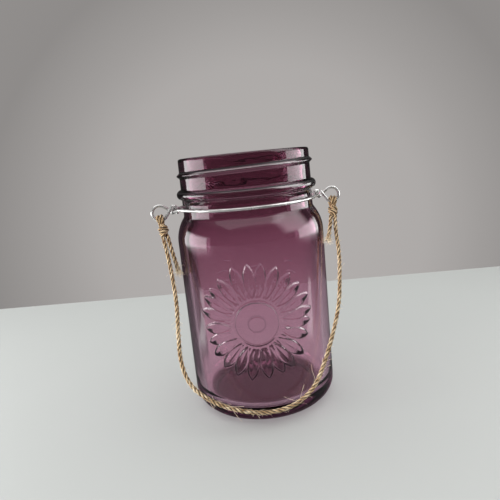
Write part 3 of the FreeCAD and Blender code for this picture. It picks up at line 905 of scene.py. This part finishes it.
def loop_route(side, shift):
    """Controls of a turn of twine over the bottom of an eye, shifted to one side of the middle."""
    seat, top, down, outward = knot_frame(side)
    start = top + outward * (0.5 * shift)
    reach = LOOP_RADIUS / cos(radians(27))
    near, far = start + FORWARD * STRAND_OFFSET, start - FORWARD * STRAND_OFFSET
    over = []
    for angle in (3, 63, 117, 177):
        ahead = seat + outward * shift + FORWARD * (reach * cos(radians(angle)))
        over.append(ahead - down * (reach * sin(radians(angle))))
    lead, tuck = down * STRAND_LEAD, down * LOOP_TUCK
    return [near + tuck, near - lead, *over, far - lead, far + tuck]


def hitch_routes(side):
    """Controls of the two strands twisted below the loop, and of the tight turns that hold them."""
    _, top, down, outward = knot_frame(side)
    shares = [index / KNOT_STEPS for index in range(KNOT_STEPS + 1)]
    routes = []
    for first in (0.0, pi):
        route = []
        for share in shares:
            turn = first + tau * PAIR_TURNS * share
            place = top + down * (HITCH_LENGTH * share)
            route.append(place + (FORWARD * cos(turn) + outward * sin(turn)) * STRAND_OFFSET)
        routes.append(route)
    wrap = []
    for share in shares:
        turn = tau * WRAP_TURNS * share + WRAP_FIRST
        out = WRAP_RADIUS * (0.5 + 0.5 * min(1.0, 5 * share, 5 * (1 - share)))
        place = top + down * (WRAP_DROP + WRAP_LENGTH * share)
        wrap.append(place + (outward * cos(turn) - FORWARD * sin(turn)) * out)
    return [*routes, wrap]


knots = []
for label, side in (("left", -1), ("right", 1)):
    loop_lines = [smooth_line("loop line " + label, loop_route(side, shift))[0] for shift in LOOP_SHIFTS]
    loop = twine_piece("loop_" + label, *loop_lines)
    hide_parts("twine_loop_" + label)
    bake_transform(loop)
    hitch_lines = [smooth_line("hitch line " + label, route)[0] for route in hitch_routes(side)]
    hitch = twine_piece("hitch_" + label, *hitch_lines)
    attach(hitch, "handle")
    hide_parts("twine_hitch_" + label)
    tail = twine_piece("tail_" + label, smooth_line("tail line " + label, TAIL_ROUTES[label])[0])
    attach(tail, "handle")
    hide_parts("twine_tail_" + label)
    knots += [loop, hitch, tail]

# %% [markdown]
# ## Stray fibres
# Jute is hairy. Short fibres stand off all along it, a few long ones stray near its low point, and the cut
# ends of the tails fan out. One tree scatters bent hairs over a piece of twine, leaning along the ply, and
# an input limits them to the neighbourhood of a point, which makes the long hairs and the frayed tips.

# %% Build the fibre tree
FIBRE_SIZES = {
    "Per Square Metre": 170000.0,
    "Length": 2.6 * MM,
    "Thickness": 0.06 * MM,
    "Lean": 0.35,
    "Near": (0.0, 0.0, 0.0),
    "Within": 10.0,
    "Seed": 4,
}
HAIR_BEND = {"Start": (0, 0, 0), "Middle": (0.06, 0, 0.55), "End": (0.32, 0.1, 1)}
HAIR_RADIUS = 0.02
FLIP_SEED, FLIP_SHARE, SPREAD_SEED = 7, 0.15, 11


def fibre_tree():
    """The tree that scatters bent hairs over twine."""
    tree, given, end = new_tree("Stray fibres", FIBRE_SIZES)
    apart = Field(tree, vector_math(tree, "DISTANCE", own(tree, "Position"), given["Near"]))
    scatter = {
        "Mesh": given["Geometry"],
        "Selection": apart.math("LESS_THAN", given["Within"]),
        "Density": given["Per Square Metre"],
        "Seed": given["Seed"],
    }
    scattered = add_node(tree, "GeometryNodeDistributePointsOnFaces", **scatter).outputs

    # Aim each hair along the ply, a few of them backwards, lifted off it and a little astray
    limits = {"Min": (-0.5, -0.5, -0.5), "Max": (0.5, 0.5, 0.5), "Seed": given["Seed"]}
    astray = made(tree, "FunctionNodeRandomValue", {"data_type": VECTOR}, **limits)
    chance = add_node(tree, "FunctionNodeRandomValue", {"data_type": "FLOAT"}, Seed=FLIP_SEED).outputs[1]
    flip = Field(tree, chance).math("GREATER_THAN", FLIP_SHARE) * 2.0 - 1.0
    forward = vector_math(tree, "SCALE", named(tree, "ply_way", VECTOR), Scale=flip)
    lifted = vector_math(tree, "SCALE", scattered["Normal"], Scale=given["Lean"])
    loose = vector_math(tree, "ADD", vector_math(tree, "ADD", forward, lifted), astray)
    aimed = made(tree, "FunctionNodeAlignRotationToVector", {"axis": "Z"}, Vector=loose)

    # One bent hair, with its own length at each point
    line = made(tree, "GeometryNodeCurveQuadraticBezier", Resolution=4, **HAIR_BEND)
    ring = made(tree, "GeometryNodeCurvePrimitiveCircle", Resolution=3, Radius=HAIR_RADIUS)
    hair = made(tree, "GeometryNodeCurveToMesh", Curve=line, Profile_Curve=ring, Fill_Caps=True)
    spread = add_node(tree, "FunctionNodeRandomValue", {"data_type": "FLOAT"}, Seed=SPREAD_SEED).outputs[1]
    long = (Field(tree, spread) * 0.9 + 0.35) * given["Length"]
    wide = given["Thickness"] * (1 / HAIR_RADIUS)
    places = {
        "Points": scattered["Points"],
        "Instance": hair,
        "Rotation": aimed,
        "Scale": vector_of(tree, wide, wide, long),
    }
    return close_tree(tree, end, made(tree, "GeometryNodeInstanceOnPoints", **places), JUTE_FIBRE)


FIBRE_TREE = fibre_tree()

# %% Grow the fibres
LONG_HAIRS = {
    "Per Square Metre": 22000.0,
    "Length": 8.5 * MM,
    "Thickness": 0.07 * MM,
    "Lean": 0.8,
    "Within": 36 * MM,
    "Seed": 9,
}
FRAYED_HAIRS = {"Per Square Metre": 5.0e6, "Length": 3.4 * MM, "Lean": 0.25, "Within": 2.4 * MM}


def fibres(name, source, changes):
    """Hairs grown on a piece of twine."""
    host = source.copy()
    host.data = source.data.copy()
    host.parent = None
    scene.collection.objects.link(host)
    piece = grown(host, name, FIBRE_TREE, {**FIBRE_SIZES, **changes})
    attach(piece, "handle")
    return piece


low_point = tuple(min(handle_points, key=lambda point: point.z))
hairs = [
    fibres("handle_fibres", handle, {}),
    fibres("long_fibres", handle, {**LONG_HAIRS, "Near": low_point}),
]
for label in ("left", "right"):
    tip = tuple(Vector(TAIL_ROUTES[label][-1]) * MM)
    tail = bpy.data.objects["tail_" + label]
    hairs.append(fibres("frayed_" + label, tail, {**FRAYED_HAIRS, "Near": tip}))

# %% [markdown]
# ## The table
# The lantern stands on a pale table, whose far edge runs a little slantwise across the picture. Clear glass
# mirrors everything round it, and a bright table would wash its colour out. So the table is dim where it is
# only mirrored, and has its full colour where it is seen straight or through the glass.

# %% Set the table
TABLE_EDGE, EDGE_SLANT, TABLE_REACH = 0.222, 0.18, 3
TABLE_LOW, TABLE_HIGH = (0.47, 0.5, 0.49), (0.495, 0.525, 0.515)
ROOM_IN_GLASS = 0.12


def when_mirrored(tree, level):
    """1 for what is seen straight or through glass, and a level for what is only mirrored."""
    path = add_node(tree, "ShaderNodeLightPath").outputs
    mirrored = Field(tree, path["Is Glossy Ray"]) - Field(tree, path["Is Transmission Ray"])
    return mirrored.between(0.0, 1.0, (1.0, level))


def table_material():
    """Matt paint with faint clouds, dim where it is only mirrored."""
    material, tree, shader = new_material("matt table")
    clouds, _ = add_mottling(tree, object_place(tree), cloud_scale=3.0, grain_scale=300.0)
    colour = add_ramp(tree, clouds, (0.3, TABLE_LOW), (0.7, TABLE_HIGH))
    colour = vector_math(tree, "SCALE", colour, Scale=when_mirrored(tree, ROOM_IN_GLASS))
    set_inputs(tree, shader, {"Base Color": colour, "Roughness": 0.6})
    return material


reach, slant = TABLE_REACH, TABLE_REACH * EDGE_SLANT
corners = [(-reach, -reach, 0), (reach, -reach, 0)]
corners += [(reach, TABLE_EDGE - slant, 0), (-reach, TABLE_EDGE + slant, 0)]
table = new_object("table", bpy.data.meshes.new("table"))
table.data.from_pydata(corners, [], [(0, 1, 2, 3)])
table.data.materials.append(table_material())
print("table edge at", TABLE_EDGE)

# %% [markdown]
# ## Light
# Two upright light panels stand left and right of the jar and give the bright bands on the neck, two low ones
# lighten the sides of the body, and a slanting one gives the patch on the shoulder. These show only in glass
# and metal. A wide panel above and a small strong one far to the left light the twine and the table.
# Each fades towards its edges, because a hard-edged reflection looks like a cut-out.

# %% Place the lights
def panel(name, place, aim, size, radiance, soft=(0.05, 0.05), matt=False, mirrored=True, through=True):
    """A light panel with soft edges, which lights matt surfaces, shows as a reflection, or both."""
    data = bpy.data.lights.new(name, "AREA")
    data.shape = "RECTANGLE"
    data.size, data.size_y = size
    data.energy = radiance * pi * size[0] * size[1]
    data.use_nodes = True
    tree = data.node_tree
    on_panel = add_node(tree, "ShaderNodeNewGeometry").outputs["Parametric"]
    axes = zip(parts(tree, on_panel), soft)
    fades = [axis.math("PINGPONG", 0.5).smooth(0.0, share) for axis, share in axes]
    fill(tree, tree.nodes["Emission"].inputs["Strength"], fades[0] * fades[1])
    lamp = new_object(name, data)
    way = Vector(aim) - Vector(place)
    lamp.matrix_world = Matrix.Translation(Vector(place)) @ way.to_track_quat("-Z", "Y").to_matrix().to_4x4()
    lamp.visible_camera = False
    lamp.visible_diffuse = matt
    lamp.visible_glossy = mirrored
    lamp.visible_transmission = mirrored and through
    return lamp


panel("left panel", (-0.31, 0.07, 0.11), (0, 0.07, 0.11), (0.32, 0.16), 4.5, (0.04, 0.25))
panel("right panel", (0.31, 0.0, 0.11), (0, 0.0, 0.11), (0.3, 0.15), 4.0, (0.04, 0.3))
panel("low left panel", (-0.2, 0.022, 0.002), (-0.2, 0.022, 1), (0.2, 0.05), 2.0, (0.2, 0.3), through=False)
panel("low right panel", (0.2, -0.058, 0.002), (0.2, -0.058, 1), (0.2, 0.04), 2.4, (0.2, 0.3), through=False)
panel("shoulder panel", (0.30, -0.12, 0.30), (0, 0, 0.1), (0.45, 0.36), 2.6, (0.3, 0.2))
panel("top panel", (0.0, 0.0, 0.9), (0, 0, 0), (1.6, 1.6), 0.85, matt=True)
panel("key panel", (-1.0, -0.25, 0.16), (0, 0, 0.06), (0.5, 0.2), 50.0, matt=True, mirrored=False)

# %% [markdown]
# ## The wall
# The wall behind the table is the world: a plain grey, a little brighter where the camera points. Like the
# table it is dim where it is only mirrored, except overhead. It counts nearly double on matt surfaces,
# which fills their shadows.

# %% Make the wall
WALL_COLOUR = (0.435, 0.415, 0.405)
WALL_GLOW = tuple((camera.matrix_world.to_3x3() @ Vector((0.03, 0.05, -1.0))).normalized())
WALL_FADE = [(0.0, 0.85), (0.6, 0.75), (0.845, 0.62), (0.9, 0.8), (0.94, 0.96), (1.0, 1.02)]
OVERHEAD = (0.5, 0.85)
ROOM_ON_TABLE = 0.9


def make_world():
    """A grey wall all round, which is dim where it is only mirrored."""
    world = bpy.data.worlds.new("studio")
    world.use_nodes = True
    tree = world.node_tree
    towards = add_node(tree, "ShaderNodeTexCoord").outputs["Generated"]
    glow = vector_math(tree, "DOT_PRODUCT", towards, WALL_GLOW)
    colour = add_ramp(tree, glow, *((at, [part * level for part in WALL_COLOUR]) for at, level in WALL_FADE))
    _, _, up = parts(tree, towards)
    seen = largest(up.smooth(*OVERHEAD), when_mirrored(tree, ROOM_IN_GLASS))
    matt = Field(tree, add_node(tree, "ShaderNodeLightPath").outputs["Is Diffuse Ray"])
    set_inputs(tree, tree.nodes["Background"], {"Color": colour, "Strength": matt * ROOM_ON_TABLE + seen})
    return world


scene.world = make_world()
print("world", scene.world.name)
